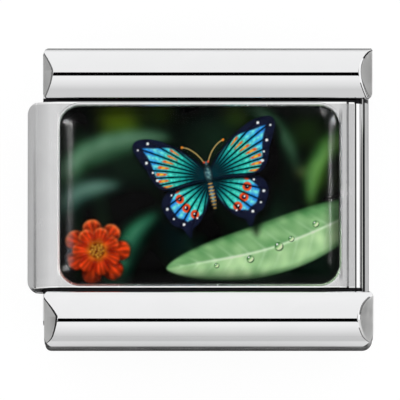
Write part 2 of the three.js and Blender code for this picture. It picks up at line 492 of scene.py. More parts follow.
# painted shade low on the rails' inner walls, at the grooves
ON_INNER_WALL = [((Z, SLEEVE_HIGH.z, 0.16, 0.1), (Y, RAIL_LOW.y, 0.01, 0.02, True), 1)]
IN_WINDOW = [
    # painted shade down its wall, and some on its right rim
    (
        (Z, COVER_HIGH.z - COVER_SHEET, COVER_SHEET - RIM["drop"] - 0.006, 0.005),
        (X, 0, PANEL_HIGH.x + 0.03, 0.01),
        (Y, 0, PANEL_HIGH.y + 0.03, 0.01),
        1,
    ),
    ((X, PANEL_HIGH.x + 0.055, 0.045, 0.01), (Y, 0, PANEL_HIGH.y - 0.3, 0.3), 0.4),
]
# a lighter painted highlight along the sheet's long edges, with a burnished gloss
AT_LONG_EDGES = [((Y, COVER_HIGH.y, 0.045, 0.012, True), 1)]
# a lighter painted highlight on the window's left rim, with a matt gloss
ON_LEFT_RIM = [((X, -PANEL_HIGH.x - 0.055, 0.035, 0.01), (Y, 0, PANEL_HIGH.y - 0.4, 0.3), 0.8)]

# the polished rails carry painted shade on their inner walls
POLISHED = steel(
    "polished_steel", (0.86, 0.862, 0.868), 0.03, (2.5, 0.09, 0.09), 0.00003, 0.012, 0.01, ON_INNER_WALL
)
FACET = steel("ground_facet", (0.58, 0.58, 0.575), 0.36, (0.12, 0.3, 0.2), 0.0012, 0.06, 0.12)
# a lighter copy of the ground facet for the right ends: painted light
PAINTED_LIGHTER_FACET = steel("ground_facet_right_painted_lighter", (0.72, 0.72, 0.715), 0.36, (0.12, 0.3, 0.2), 0.0012, 0.06, 0.12)
# near-black and dark grey steel along the facets' creases: painted dark reflection lines
PAINTED_DARK_EDGE = steel("painted_dark_facet_edge", (0.03, 0.03, 0.031), 0.25, (0.1, 0.1, 0.1), 0.0003, 0.04)
SOFT_PAINTED_DARK_EDGE = steel("soft_painted_dark_facet_edge", (0.2, 0.2, 0.2), 0.3, (0.1, 0.1, 0.1), 0.0003, 0.04)
RAIL_SIDE = steel("ground_side", (0.5, 0.5, 0.505), 0.16, (1.5, 0.1, 0.05), 0.0004, 0.05)
# painted shade in the window, and a lighter painted highlight along the long edges and on the left rim
SATIN_PARTS = {"painted_shade": IN_WINDOW, "bright": AT_LONG_EDGES, "matt": ON_LEFT_RIM}
SATIN = steel("satin_steel", (0.71, 0.71, 0.715), 0.24, (0.07, 1.4, 0.07), 0.00022, 0.04, **SATIN_PARTS)
SLEEVE = steel("sleeve_steel", (0.9, 0.9, 0.905), 0.06, (0.4, 1.5, 0.1), 0.0002, 0.025, painted_shade=ON_SLEEVES)
DRAWN = steel("drawn_steel", (0.62, 0.62, 0.625), 0.3, (0.08, 1.5, 1.5), 0.001)
SPRING = steel("spring_steel", (0.5, 0.5, 0.49), 0.22, (1.2, 0.08, 0.5), 0.0004)


def resin():
    """Clear cast resin: softly glossy, with the faintest ripple."""
    material, tree, place = material_of("clear_resin")
    body = {"Base Color": (0.985, 0.99, 0.99, 1), "Transmission Weight": 1.0}
    principled(tree, noise(place, (0.9, 0.7, 0.8), 1), 0.0005, {**body, "Roughness": 0.16, "IOR": 1.12})
    return material


RESIN = resin()


def print_material():
    """A photographic print: its colours lie on the mesh, under a fine grain of ink."""
    material, tree, place = material_of("printed_picture")
    printed = node(tree, "Attribute", out="Color", attribute_name=PICTURE_COLOURS)
    grain = noise(place, (0.035, 0.035, 0.035), 2)
    cloud = noise(place, (0.5, 0.5, 0.5), 2)
    share = maths("ADD", ranged(grain, 0.0, 0.12), ranged(cloud, 0.0, 0.08))
    ends = {0: 1.0, 6: printed, 7: (0.62, 0.62, 0.6, 1)}
    darker = node(tree, "Mix", ends, 2, data_type="RGBA", blend_type="MULTIPLY")
    surface = {"Roughness": ranged(grain, 0.42, 0.58), "Specular IOR Level": 0.0}
    principled(tree, grain, 0.0004, {"Base Color": tint(share, printed, darker), **surface})
    return material


PICTURE_COLOURS = "ink"
PRINT = print_material()


# Rails. Each is a stack of cross-sections along X. The outline stands back at the plan's round corners and
# is melted into the facet planes at the ends, so that every edge has a true roll.

RAIL_ROLL = 0.03
INNER_ROLL = {"upper": (0.02, 0.032), "lower": (0.036, 0.05)}  # how wide and how deep
INNER_CORNER = 0.13
OUTER_WALL = {"upper": RAIL_HIGH.y - 0.006, "lower": RAIL_HIGH.y + 0.033}
END_ROLL = 0.018
BACK_ROLL = 0.01
SKIRT_ROLL = 0.02
LEAST_SKIRT = 0.05  # thickness where the plan's round corners cut into it
END_ZONE = 0.52
SHORTEST_RUN = 0.01
FOOT = SLEEVE_HIGH.z + SLIP / 4

# At each end: how far the bar reaches past the solid's end, how far the facet runs back at the crown and
# how much less per millimetre towards +Y, how deep it cuts at the crown and how much deeper per millimetre
# towards -Y, how softly it meets the bar, how much softer per millimetre towards -Y, and the radius of the
# plan's outer corner.
RailEnd = namedtuple("RailEnd", "reach run point depth lean melt soften corner")
RAIL_ENDS = {
    ("upper", "left"): RailEnd(0.0, 0.28, 0.3, 0.33, 0.2, 0.045, 0.0, 0.26),
    ("upper", "right"): RailEnd(0.012, 0.37, 0.0, 0.46, 0.2, 0.07, 1.2, 0.09),
    ("lower", "left"): RailEnd(-0.038, 0.375, 0.5, 0.44, 0.4, 0.055, 0.0, 0.19),
    ("lower", "right"): RailEnd(0.03, 0.43, 0.0, 0.46, 0.18, 0.07, 1.2, 0.31),
}
EDGE_BAND = (0.15, 0.85)  # the shares of the facet between which its edge lies
# Marks along the facets' edges, most of them painted dark reflection lines: their finish, where they lie
# along Y from the crown towards -Y, in millimetres, and how far into the facet.
MARKS = {
    ("upper", "left"): [("SOFT_CREASE", (-1, 1), EDGE_BAND)],
    ("upper", "right"): [("CREASE", (-1, -0.37), (0.5, 0.93)), ("CREASE", (0.36, 1), (0.08, 0.26))],
    ("lower", "left"): [("CREASE", (-1, 1), EDGE_BAND)],
    ("lower", "right"): [
        ("SOFT_CREASE", (-0.6, -0.05), (0.5, 0.93)),
        ("SOFT_CREASE", (0.34, 1), (0.08, 0.26)),
        ("GROUND", (0.1, 1), (0.26, 1)),
    ],
}
# two of these finishes are painted dark reflection lines on the creases, and one a lighter painted copy of
# the ground facet
FINISHES = ("POLISH", "GROUND", "CREASE", "SOFT_CREASE", "SIDE", "GROUND_RIGHT")


def rail_outline(edge):
    """A rail's outline at the upper edge, from the outer wall's foot, over the crown, to the inner foot."""
    roll, drop = INNER_ROLL[edge]
    inner, outer, bottom, top = RAIL_LOW.y, OUTER_WALL[edge], RAIL_LOW.z, RAIL_HIGH.z
    reach = CROWN_RADIUS * math.sin(CROWN_TURN)
    arc_end = top - CROWN_RADIUS * (1 - math.cos(CROWN_TURN))
    slope = math.tan(CROWN_TURN)
    shoulder = arc_end - (outer - CROWN_Y - reach) * slope
    start = (inner + roll, arc_end - (CROWN_Y - reach - inner - roll) * slope)
    corner = (inner, start[1] - roll * slope)
    degrees = math.degrees(CROWN_TURN)
    radii = (CROWN_RADIUS, CROWN_RADIUS)
    points = [(outer - RAIL_ROLL, bottom), (outer - 0.3 * RAIL_ROLL, bottom + 0.3 * RAIL_ROLL)]
    points += [(outer, z) for z in np.linspace(bottom + RAIL_ROLL, CROWN_WALL_TOP, 7)]
    points += bezier((outer, CROWN_WALL_TOP), (outer, shoulder), (CROWN_Y + reach, arc_end), 40)[1:]
    points += arc((CROWN_Y, top - CROWN_RADIUS), radii, 90 - degrees, 90 + degrees, 90)[1:]
    straight = np.linspace((CROWN_Y - reach, arc_end), start, 9)
    points += straight[1:].tolist()
    points += bezier(start, corner, (inner, corner[1] - drop), 10)[1:]
    return np.array(points + [(inner, FOOT)])


def melted(a, b, softness):
    """The lower of two heights, rounded where they cross, and the share of b in it."""
    share = np.clip(0.5 + 0.5 * (a - b) / softness, 0, 1)
    return a + (b - a) * share - softness * share * (1 - share), share


def corner_inset(depth, radius):
    """How far a round corner stands back at this depth from the end."""
    return radius - math.sqrt(max(radius**2 - max(radius - depth, 0) ** 2, 0))


def rail_stations(edge):
    """Places along the rail: the end they belong to, depth from it, inset, and whether it is walled."""
    stations = []
    for end in ("left", "right"):
        depths = set(np.linspace(END_ROLL, END_ZONE, 64)) | {RAIL_END}
        for corner in (RAIL_ENDS[edge, end].corner, INNER_CORNER):
            depths |= {END_ROLL + corner * (1 - math.cos(t)) for t in np.linspace(0.15, 1.5, 12)}
        line = [(depth, inward) for depth, inward in rolled(0, 1, END_ROLL)[:ROLL_STEPS]]
        line += [(depth, 0.0) for depth in sorted(depths)]
        walled = [(end, depth, inward, True) for depth, inward in line if depth <= RAIL_END]
        hollow = [(end, depth, inward, False) for depth, inward in line if depth >= RAIL_END]
        stations += walled + hollow if end == "left" else (walled + hollow)[::-1]
    return stations


def rail(edge):
    """The rail of the upper or lower edge, drawn at the upper one."""
    outline = rail_outline(edge)
    bottom = RAIL_LOW.z
    hollow, wall = RAIL_HIGH.y - RAIL_SKIRT, SLEEVE_HIGH.y + SLIP

    def back(corner, at):
        """The rail's back, down from the sleeve's top."""
        down = [(at, FOOT - BACK_ROLL), (at, bottom + SKIRT_ROLL), (at + SKIRT_ROLL, bottom)]
        return [(wall - BACK_ROLL, FOOT), corner, *down]

    backs = {True: back((wall, FOOT - BACK_ROLL), wall), False: back((hollow - BACK_ROLL, FOOT), hollow)}
    side = 1 if edge == "upper" else -1
    loops, shares = [], []
    for end, depth, inward, walled in rail_stations(edge):
        setting = RAIL_ENDS[edge, end]
        shown = max(depth, END_ROLL)
        high = OUTER_WALL[edge] - corner_inset(shown - END_ROLL, setting.corner)
        low = RAIL_LOW.y + corner_inset(shown - END_ROLL, INNER_CORNER)
        y = np.clip(outline[:, 0], low, high)
        towards = side * (CROWN_Y - y)
        run = np.maximum(setting.run + setting.point * np.minimum(towards, 0), SHORTEST_RUN)
        facet = RAIL_HIGH.z - (setting.depth + setting.lean * towards) * (1 - shown / run)
        softness = setting.melt * (1 + setting.soften * np.maximum(towards, 0))
        z, share = melted(outline[:, 1], facet, softness)
        foot = (min(hollow, high - LEAST_SKIRT) + SKIRT_ROLL, bottom)
        loop = np.array([*zip(y, z), *backs[walled], foot])
        if inward:
            loop = inset(loop, inward)
        if end == "left":
            loops.append((RAIL_LOW.x - setting.reach + depth, loop))
        else:
            loops.append((RAIL_HIGH.x + setting.reach - depth, loop))
        shares.append(share)

    tops = len(outline)

    def finish_name(i, j):
        if j >= tops - 1 and i >= 0:
            return "SIDE"
        end = "left" if loops[i][0] < 0 else "right"
        # the right ends take the lighter painted copy of the ground facet
        ground = "GROUND" if end == "left" else "GROUND_RIGHT"
        if i < 0:
            return ground
        share = (shares[i][j] + shares[min(i + 1, len(shares) - 1)][j]) / 2
        towards = side * (CROWN_Y - outline[j][0])
        for name, along, into in MARKS[edge, end]:
            if along[0] < towards < along[1] and into[0] < share <= into[1]:
                return ground if name == "GROUND" else name
        if share > EDGE_BAND[1]:
            return ground
        if share > EDGE_BAND[0]:
            return "POLISH"
        return "SIDE" if outline[j + 1][1] < CROWN_WALL_TOP + 0.01 and outline[j][0] > CROWN_Y else "POLISH"

    def finish(i, j):
        return FINISHES.index(finish_name(i, j))

    return stacked(loops, "x", finish=finish)


for edge, turn in (("upper", lambda obj: obj), ("lower", mirrored)):
    finishes = (POLISHED, FACET, PAINTED_DARK_EDGE, SOFT_PAINTED_DARK_EDGE, RAIL_SIDE, PAINTED_LIGHTER_FACET)
    made(turn(rail(edge)), f"rail_{edge}_polished", "face", "polished_steel", finishes, f"rail_{edge}")


# The covering sheet and its window


def window_outline(grow):
    length = PANEL_HIGH.x + grow
    width = PANEL_HIGH.y + grow
    return rounded_rect(-length, length, -width, width, WINDOW_CORNER + grow)


COVER_SAG = [(4.15, 0.0), (4.19, 0.0012), (4.25, 0.0045), (4.32, 0.009), (COVER_STEP, 0.0135)]
LEDGE_FALL = 0.009


def cover():
    top, bottom = COVER_HIGH.z, COVER_LOW.z
    bed = top - COVER_SHEET
    ledge = top - COVER_STEP_DROP
    centre, inside = (NOSE_X, NOSE_Z), NOSE_RADIUS - COVER_SHEET
    reach = COVER_HIGH.y
    corners = [
        (COVER_HIGH.x, bed, 0.02),
        (COVER_HIGH.x, ledge - LEDGE_FALL, 0.02),
        (COVER_STEP + COVER_STEP_RUN, ledge, 0.012),
        *[(x, top - sag, 0) for x, sag in reversed(COVER_SAG)],
        *[(*p, 0) for p in arc(centre, (NOSE_RADIUS, NOSE_RADIUS), 90, 270, 72)],
        (COVER_HEM, bottom, 0.03),
        (COVER_HEM, bottom + COVER_SHEET, 0.03),
        *[(*p, 0) for p in arc(centre, (inside, inside), 270, 90, 48)],
    ]

    def plan(loop, y):
        left = COVER_LOW.x + corner_inset(reach - abs(y - COVER_SHIFT), NOSE_CORNER)
        return np.stack([np.maximum(loop[:, 0], left), loop[:, 1]], 1)

    corner_steps = [reach - NOSE_CORNER * (1 - math.cos(t)) for t in np.linspace(0.42, 1.5, 12)]
    between = [side * y + COVER_SHIFT for y in corner_steps for side in (-1, 1)]
    ends = (COVER_SHIFT - reach, COVER_SHIFT + reach)
    sheet = swept(filleted(corners), "y", *ends, ROLL["sheet"], between, plan)
    return cut(sheet, window_cutter())


def window_cutter():
    """The window's opening, with a rolled rim at the top."""
    top, bed = COVER_HIGH.z, COVER_HIGH.z - COVER_SHEET
    slope, drop, roll = RIM["slope"], RIM["drop"], RIM["roll"]
    knee = (top - drop * roll / slope, SLIP + slope - roll)
    rim = [(bed - SLIP, SLIP), (top - drop - 0.01, SLIP), (top - drop, SLIP + 0.003)]
    rim += bezier(knee, (top, SLIP + slope), (top, SLIP + slope + roll), 5)
    rim += [(top + SLIP, SLIP + slope + roll)]
    return stacked([(z, window_outline(grow)) for z, grow in rim], "z")


made(cover(), "cover_satin", "face", "satin_steel", [SATIN], "face_cover", sharp=25)


# Sleeves


def sleeve(low, high, wall, left_corner, right_corner):
    """A flattened tube, open at both sides of the bracelet."""
    outside = rounded_rect(low.x, high.x, low.z, high.z, left_corner, right_corner, SLEEVE_STEPS)
    span = (low.x + wall, high.x - wall, low.z + wall, high.z - wall)
    inside = rounded_rect(*span, left_corner - wall, right_corner - wall, SLEEVE_STEPS)
    return tube(outside, inside, "y", low.y, high.y, ROLL["sleeve"])


def face_sleeve():
    round_end = (SLEEVE_HIGH.z - SLEEVE_LOW.z) / 2
    beside = COVER_HIGH.y - SLIP
    sides = ((beside, BEYOND), (-BEYOND, -beside))
    cuts = [block((-BEYOND, RAIL_LOW.x), y, (-1, BEYOND)) for y in sides]
    return cut(sleeve(SLEEVE_LOW, SLEEVE_HIGH, FACE_WALL, round_end, FACE_CORNER), *cuts)


def back_sleeve():
    round_end = (BACK_HIGH.z - BACK_LOW.z) / 2
    mouth = 0.02
    left, right = BACK_SEAM, BACK_SEAM + BACK_SEAM_WIDTH
    below, lip, above = (BACK_LOW.z + up for up in (-mouth, mouth, 1.5 * BACK_WALL))
    seam = [(left - mouth, below), (right + mouth, below), (right, lip), (right, above)]
    seam += [(left, above), (left, lip)]
    high = BACK_HIGH + Vector((BACK_REACH, 0, 0))
    tube_part = sleeve(BACK_LOW, high, BACK_WALL, round_end, round_end)
    return cut(tube_part, swept(seam, "y", -BEYOND, BEYOND))


made(face_sleeve(), "face_sleeve_steel", "face", "satin_steel", [SLEEVE], "face_sleeve")
made(back_sleeve(), "back_sleeve_steel", "back", "satin_steel", [SLEEVE], "back_sleeve")


# Clips and leaf springs


def clip(node_name):
    low, high = box(node_name)
    side = 1 if high.y > 0 else -1
    web, reach = (high.y, low.y) if side > 0 else (-low.y, -high.y)
    strip, bend, edge_roll = CLIP_STRIP, CLIP_BEND, ROLL["clip"]
    outline = filleted(
        [
            (reach, low.z, edge_roll),
            (web, low.z, bend + strip),
            (web, high.z, bend + strip),
            (reach, high.z, edge_roll),
            (reach, high.z - strip, edge_roll),
            (web - strip, high.z - strip, bend),
            (web - strip, low.z + strip, bend),
            (reach, low.z + strip, edge_roll),
        ],
        steps=10,
    )
    bent = swept(outline, "x", low.x, high.x, edge_roll)
    return bent if side > 0 else mirrored(bent)


for end in ("left", "right"):
    for edge in ("upper", "lower"):
        cad = f"clip_{end}_{edge}"
        made(clip(cad), f"{cad}_strip", f"{end}_clips", "drawn_steel", [DRAWN], cad)


SPRING_SEAT = 1.7
SPRING_TIP = 0.22
SPRING_STEPS = 120


def leaf_spring(node_name):
    low, high = box(node_name)
    middle = (low.x + high.x) / 2
    half = (high.x - low.x) / 2
    start = half - SPRING_SEAT
    lift = high.z - low.z - SPRING_STRIP
    lower = []
    for offset in np.linspace(-half, half, SPRING_STEPS + 1):
        distance = abs(offset)
        if distance < start:
            height = lift * (1 - math.cos(math.pi * distance / start)) / 2
        else:
            past = max(distance - (half - SPRING_TIP), 0) / SPRING_TIP
            height = lift * (1 - past * past / 2)
        lower.append((middle + offset, low.z + height))
    upper = [(x, z + SPRING_STRIP) for x, z in reversed(lower)]
    return swept(lower + upper, "y", low.y, high.y, ROLL["spring"])


for body, seat in (("face", SLEEVE_LOW.z + FACE_WALL), ("back", BACK_LOW.z + BACK_WALL)):
    cad = f"leaf_spring_{body}"
    spring = made(leaf_spring(cad), f"{cad}_strip", body, "spring_steel", [SPRING], cad)
    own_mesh(spring)


# The clear dome

DOME_EDGE = 0.5
DOME_SHOULDER = 0.2
DOME_CROWN = 0.1
DOME_RIM = 0.04
DOME_BED = 0.005  # the resin is cast on the picture, so it starts just under the picture's surface
DOME_RINGS = (24, 40)  # over its shoulder and over its crown


def dome():
    shoulder = DOME_LOW.z + DOME_RIM + DOME_SHOULDER
    reach = (PANEL_HIGH.x - DOME_EDGE, PANEL_HIGH.y - DOME_EDGE)

    def crown_at(x, y):
        return shoulder + DOME_CROWN * (1 - (x / reach[0]) ** 2) * (1 - (y / reach[1]) ** 2)

    rings = [[(x, y, PANEL_HIGH.z - DOME_BED) for x, y in window_outline(0)]]
    for turn in np.radians(np.linspace(0, 90, DOME_RINGS[0] + 1)):
        z = shoulder - DOME_SHOULDER * (1 - math.sin(turn))
        rings.append([(x, y, z) for x, y in window_outline(-DOME_EDGE * (1 - math.cos(turn)))])
    inner = window_outline(-DOME_EDGE)
    for scale in np.linspace(1, 0, DOME_RINGS[1] + 1)[1:-1]:
        rings.append([(x * scale, y * scale, crown_at(x * scale, y * scale)) for x, y in inner])
    bm = bmesh.new()
    loops = [[bm.verts.new(p) for p in ring] for ring in rings]
    count = len(inner)
    middle = bm.verts.new((0, 0, crown_at(0, 0)))
    for i in range(count):
        j = (i + 1) % count
        for below, above in zip(loops, loops[1:]):
            bm.faces.new((below[i], below[j], above[j], above[i]))
        bm.faces.new((loops[-1][i], loops[-1][j], middle))
    bm.faces.new(loops[0][::-1])
    bmesh.ops.remove_doubles(bm, verts=bm.verts, dist=1e-5)
    bmesh.ops.recalc_face_normals(bm, faces=bm.faces)
    return as_object(bm, "dome")


made(dome(), "dome_resin", "face", "clear_resin", [RESIN], "clear_dome")


# The picture: a butterfly over a broad leaf, with a flower, and a dark wood out of focus behind. It is
# painted point by point on a fine grid. Places are in millimetres from the middle of the window, and a
# colour's code is six hexadecimal digits on the screen's scale.

PICTURE_PITCH = 0.02
PAPER = 0.7  # the panel's sides and back
INK_BLACK = 0.035  # what prints as black
INK_GAIN = 1.34  # how much more strongly the rest prints


def ink(code):
    """A colour from its code. A colour itself stays as it is."""
    if not isinstance(code, str):
        return code
    return np.array([int(code[i : i + 2], 16) / 255 for i in (0, 2, 4)])


def step(low, high, value):
    """0 up to low, 1 from high on, and smooth between. High may be the smaller one."""
    share = np.clip((value - low) / (high - low), 0, 1)
    return share * share * (3 - 2 * share)


def laid(under, *layers):
    """A colour with layers over it in turn, each a mask, which says how far it covers, and a colour."""
    under = ink(under)
    for mask, colour in layers:
        under = under + (ink(colour) - under) * np.asarray(mask)[..., None]
    return under


def softened(colour, steps):
    """The picture out of focus, over this many steps of its grid."""
    for _ in range(2):
        for axis in (0, 1):
            padding = [(0, 0)] * 3
            padding[axis] = (steps + 1, steps)
            sums = np.cumsum(np.pad(colour, padding, mode="edge"), axis=axis)
            size = colour.shape[axis]
            ends = [np.take(sums, range(start, start + size), axis) for start in (2 * steps + 1, 0)]
            colour = (ends[0] - ends[1]) / (2 * steps + 1)
    return colour


WAVES = 22


def mottle(x, y, size, seed):
    """Smooth noise, mostly between -1 and 1, from seeded waves with lengths about a size."""
    rng = np.random.default_rng(seed)
    total = np.zeros_like(x)
    for _ in range(WAVES):
        turn, phase = rng.uniform(0, 2 * math.pi, 2)
        pace = 2 * math.pi / (size * rng.uniform(0.5, 2.2))
        total += np.sin((x * math.cos(turn) + y * math.sin(turn)) * pace + phase)
    return total / math.sqrt(WAVES * 1.3)


def spline(points, steps, closed=True):
    """A smooth line through points."""
    points = np.array(points, dtype=float)
    count = len(points)
    line = []
    for i in range(count if closed else count - 1):
        around = [i + k if closed else min(max(i + k, 0), count - 1) for k in (-1, 0, 1, 2)]
        a, b, c, d = (points[k % count] for k in around)
        for t in np.arange(steps) / steps:
            cubic = (3 * b - a - 3 * c + d) * t**3 + (2 * a - 5 * b + 4 * c - d) * t**2
            line.append((cubic + (c - a) * t) / 2 + b)
    return np.array(line if closed else line + [points[-1]])


def along_line(line, x, y):
    """For each point: its distance from a line, positive to the left, and how far along it lies."""
    best = np.full(x.shape, 1e9)
    side, place = np.zeros(x.shape), np.zeros(x.shape)
    lengths = np.linalg.norm(np.diff(line, axis=0), axis=1)
    starts = np.cumsum(lengths) - lengths
    for (ax, ay), (bx, by), length, start in zip(line, line[1:], lengths, starts):
        dx, dy = (bx - ax) / length, (by - ay) / length
        t = np.clip((x - ax) * dx + (y - ay) * dy, 0, length)
        away = (x - ax - t * dx) ** 2 + (y - ay - t * dy) ** 2
        nearer = away < best
        best = np.where(nearer, away, best)
        side = np.where(nearer, np.sign(dx * (y - ay) - dy * (x - ax)), side)
        place = np.where(nearer, (start + t) / lengths.sum(), place)
    return np.sqrt(best) * side, place


def outline_distance(outline, x, y):
    """Distance from a closed outline, negative inside."""
    best = np.full(x.shape, 1e9)
    inside = np.zeros(x.shape, dtype=bool)
    for (ax, ay), (bx, by) in zip(outline, np.roll(outline, -1, 0)):
        dx, dy = bx - ax, by - ay
        t = np.clip(((x - ax) * dx + (y - ay) * dy) / max(dx * dx + dy * dy, 1e-12), 0, 1)
        best = np.minimum(best, (x - ax - t * dx) ** 2 + (y - ay - t * dy) ** 2)
        if ay != by:
            inside ^= ((ay > y) != (by > y)) & (x < dx * (y - ay) / dy + ax)
    return np.where(inside, -1, 1) * np.sqrt(best)


def polar(centre, radius, turn):
    return centre[0] + radius * math.cos(turn), centre[1] + radius * math.sin(turn)


def turned(x, y, centre, degrees, scale=1.0):
    """Points in the frame of a motif that stands at a centre, turned and scaled."""
    c, s = math.cos(math.radians(degrees)), math.sin(math.radians(degrees))
    u, v = x - centre[0], y - centre[1]
    return (u * c + v * s) / scale, (v * c - u * s) / scale


GLIMMERS = [  # light between the leaves: x, y, radius, strength, colour
    (-2.4, 2.35, 0.75, 0.55, "6f8a12"),
    (-1.2, 2.6, 0.5, 0.4, "4a6a12"),
    (-3.7, 1.5, 0.6, 0.3, "1f4426"),
    (1.1, 2.5, 0.5, 0.35, "5b7a1a"),
    (3.2, 1.9, 0.6, 0.4, "35561f"),
    (3.8, 0.5, 0.45, 0.35, "4c6f24"),
    (-4.0, -0.2, 0.5, 0.4, "28504a"),
    (-0.6, -1.2, 0.7, 0.3, "14343a"),
    (3.0, 0.7, 0.2, 0.5, "a9b070"),
    (3.5, 1.15, 0.16, 0.4, "b9c08a"),
]

# Leaves: rib, half width, dark and light colour, number of veins.
FAR_LEAVES = [
    ([(-4.8, 0.0), (-3.5, 1.1), (-2.3, 1.6), (-0.8, 1.75)], 0.5, "14301c", "5c8468", 8),
    ([(-4.9, -1.1), (-4.0, -0.2), (-3.2, 0.2), (-2.3, 0.3)], 0.4, "16302a", "587c6c", 7),
    ([(4.9, 2.4), (4.0, 1.6), (3.4, 0.7), (3.3, -0.4)], 0.36, "1c4420", "6a9a44", 9),
    ([(0.8, 3.2), (1.9, 2.4), (2.6, 1.6), (2.9, 0.7)], 0.3, "0c2216", "31583a", 7),
    ([(-2.6, -3.2), (-2.4, -2.1), (-1.9, -1.1), (-1.2, -0.5)], 0.42, "0a2c22", "2d7450", 9),
]
NEAR_LEAVES = [
    ([(5.2, -0.2), (3.5, -1.05), (1.7, -1.7), (-1.0, -2.2)], 0.92, "3f7442", "bcd6a6", 13),
]


def wood(x, y):
    """The dark wood behind."""
    colour = laid(
        "020504",
        (step(-0.5, 1.6, mottle(x, y, 3.4, 11)), "15281c"),
        (0.6 * step(0.3, 1.4, mottle(1.9 * x + 0.5 * y, 0.4 * y, 2.4, 5)), "1d3320"),
    )
    for cx, cy, radius, strength, code in GLIMMERS:
        colour = laid(colour, (strength * step(1.3, 0.3, np.hypot(x - cx, y - cy) / radius), code))
    return colour


def leaf(colour, x, y, rib, width, dark, light, veins):
    """A leaf along its rib, lit from the upper side."""
    away, place = along_line(spline(rib, 10, closed=False), x, y)
    half = width * np.clip(place * (1 - place) * 4, 0, 1) ** 0.62 * (1 - 0.25 * place)
    share = np.abs(away) / np.maximum(half, 1e-3)
    inside = (place > 0.001) & (place < 0.999)
    lit = np.where(away > 0, 0.66, 0.36) + 0.13 * mottle(x, y, 0.8, veins) + 0.08 * np.sin(3 * share)
    pace = place * veins - 1.1 * share
    gap = np.abs(pace - np.round(pace)) * 2
    lit -= 0.2 * (1 - gap) * share
    pale = ink(light) * 0.5 + 0.45
    blade = laid(
        dark,
        (np.clip(lit, 0, 1), light),
        (0.3 * step(0.16, 0.02, gap * (0.4 + share)) * (1 - 0.7 * share), pale),
        (0.85 * step(0.045, 0.012, np.abs(away)) * step(1, 0.75, place), pale),
        (0.5 * step(0.75, 1.0, share), ink(dark) * 0.6),
    )
    return laid(colour, (step(0.015, -0.015, np.abs(away) - half) * inside, blade))


FLOWER = {"centre": (-3.05, -1.66), "degrees": 12}
PETALS = 7
SEEDS = 18


def flower(colour, x, y):
    """An orange flower, with two rows of petals round its seeds."""
    u, v = turned(x, y, **FLOWER)
    turn, away = np.arctan2(v, u), np.hypot(u, v)
    for reach, shift in ((0.98, 0.2), (0.72, 0.65)):
        lobe = (turn + shift) / (2 * math.pi) * PETALS
        gap = np.abs(lobe - np.round(lobe)) * 2
        edge = reach * (0.55 + 0.45 * np.sqrt(np.clip(1 - gap**2.2, 0, 1)))
        edge *= 1 + 0.05 * np.sin(5 * np.round(lobe))
        depth = np.clip(away / reach, 0, 1)
        petal = laid(
            "e8a024",
            (step(0.15, 0.6, depth), "cf4218"),
            (0.85 * step(0.3, 1.0, gap) * step(0.2, 0.7, depth), "7c130b"),
        )
        petal = petal * (0.82 + 0.18 * np.sin(lobe * 8 * math.pi) + 0.1 * mottle(x, y, 0.3, 3))[..., None]
        petal = laid(petal, (0.5 * step(0.84, 0.99, away / edge) * step(-0.6, 0.8, v / 0.9), "f7a868"))
        past = away - edge
        colour = laid(colour, (0.7 * step(0.16, -0.1, past), "060201"), (step(0.02, -0.02, past), petal))
    colour = laid(colour, (step(0.25, 0.19, away), "4c1806"))
    for k in range(SEEDS):
        seed = polar((0, 0), 0.2 * math.sqrt((k + 1) / SEEDS), 2.4 * k)
        colour = laid(colour, (step(0.038, 0.02, np.hypot(u - seed[0], v - seed[1])), "f2cf52"))
    return colour


DROPS = [(2.35, -1.52, 0.12), (2.72, -1.3, 0.08), (1.5, -1.9, 0.1), (3.45, -0.85, 0.09), (0.5, -2.1, 0.07)]


def drops(colour, x, y):
    """Drops of water on the near leaf."""
    for cx, cy, radius in DROPS:
        u, v = (x - cx) / radius, (y - cy) / radius
        bead = laid("d4eab8", (step(-0.8, 0.9, v - u), "39703a"))
        colour = laid(
            colour,
            (0.55 * step(1.3, 0.9, np.hypot(u - 0.15, v + 0.2)), "0c2a10"),
            (0.85 * step(1.02, 0.9, np.hypot(u, v)), bead),
            (step(0.32, 0.16, np.hypot(u + 0.35, v - 0.4)), "ffffff"),
        )
    return colour


# One side of the butterfly in its own frame, with its body along v.
WINGS = {
    "hind": {
        "root": (0.0, 0.0),
        "reach": 1.65,
        "turns": (-88, 12),
        "cells": 8,
        "outline": [
            (0.04, 0.12), (0.55, 0.10), (1.05, 0.02), (1.46, -0.16), (1.62, -0.48), (1.52, -0.80),
            (1.36, -1.06), (1.10, -1.22), (0.92, -1.52), (0.78, -1.26), (0.56, -1.12), (0.30, -0.84),
            (0.08, -0.42),
        ],
    },
    "fore": {
        "root": (0.0, 0.12),
        "reach": 2.35,
        "turns": (-4, 50),
        "cells": 7,
        "outline": [
            (0.04, 0.30), (0.45, 0.80), (1.05, 1.27), (1.62, 1.52), (2.05, 1.52), (2.16, 1.30),
            (2.04, 0.98), (1.86, 0.62), (1.74, 0.28), (1.52, 0.02), (1.10, -0.06), (0.55, 0.0),
            (0.05, 0.06),
        ],
    },
}
SPOT_INSET = 0.13
FEELER = [(0.03, 0.5), (0.2, 0.8), (0.42, 1.02), (0.6, 1.1)]
BODY = [  # middle, half length across and along, colour
    (-0.38, 0.085, 0.46, "27303a"),
    (0.22, 0.13, 0.26, "1b2b30"),
    (0.52, 0.085, 0.09, "141c20"),
]
BUTTERFLY = {"centre": (0.3, 0.42), "degrees": 11, "scale": 1.04}
SHADOW_SHIFT = (0.16, -0.22)
SPREAD = {1: 1.0, -1: 0.92}  # how wide each side is seen


def spot(field, u, v, place, radius, code):
    gone = np.hypot(u - place[0], v - place[1])
    return laid(field, (step(1.2 * radius, 0.8 * radius, gone), code))


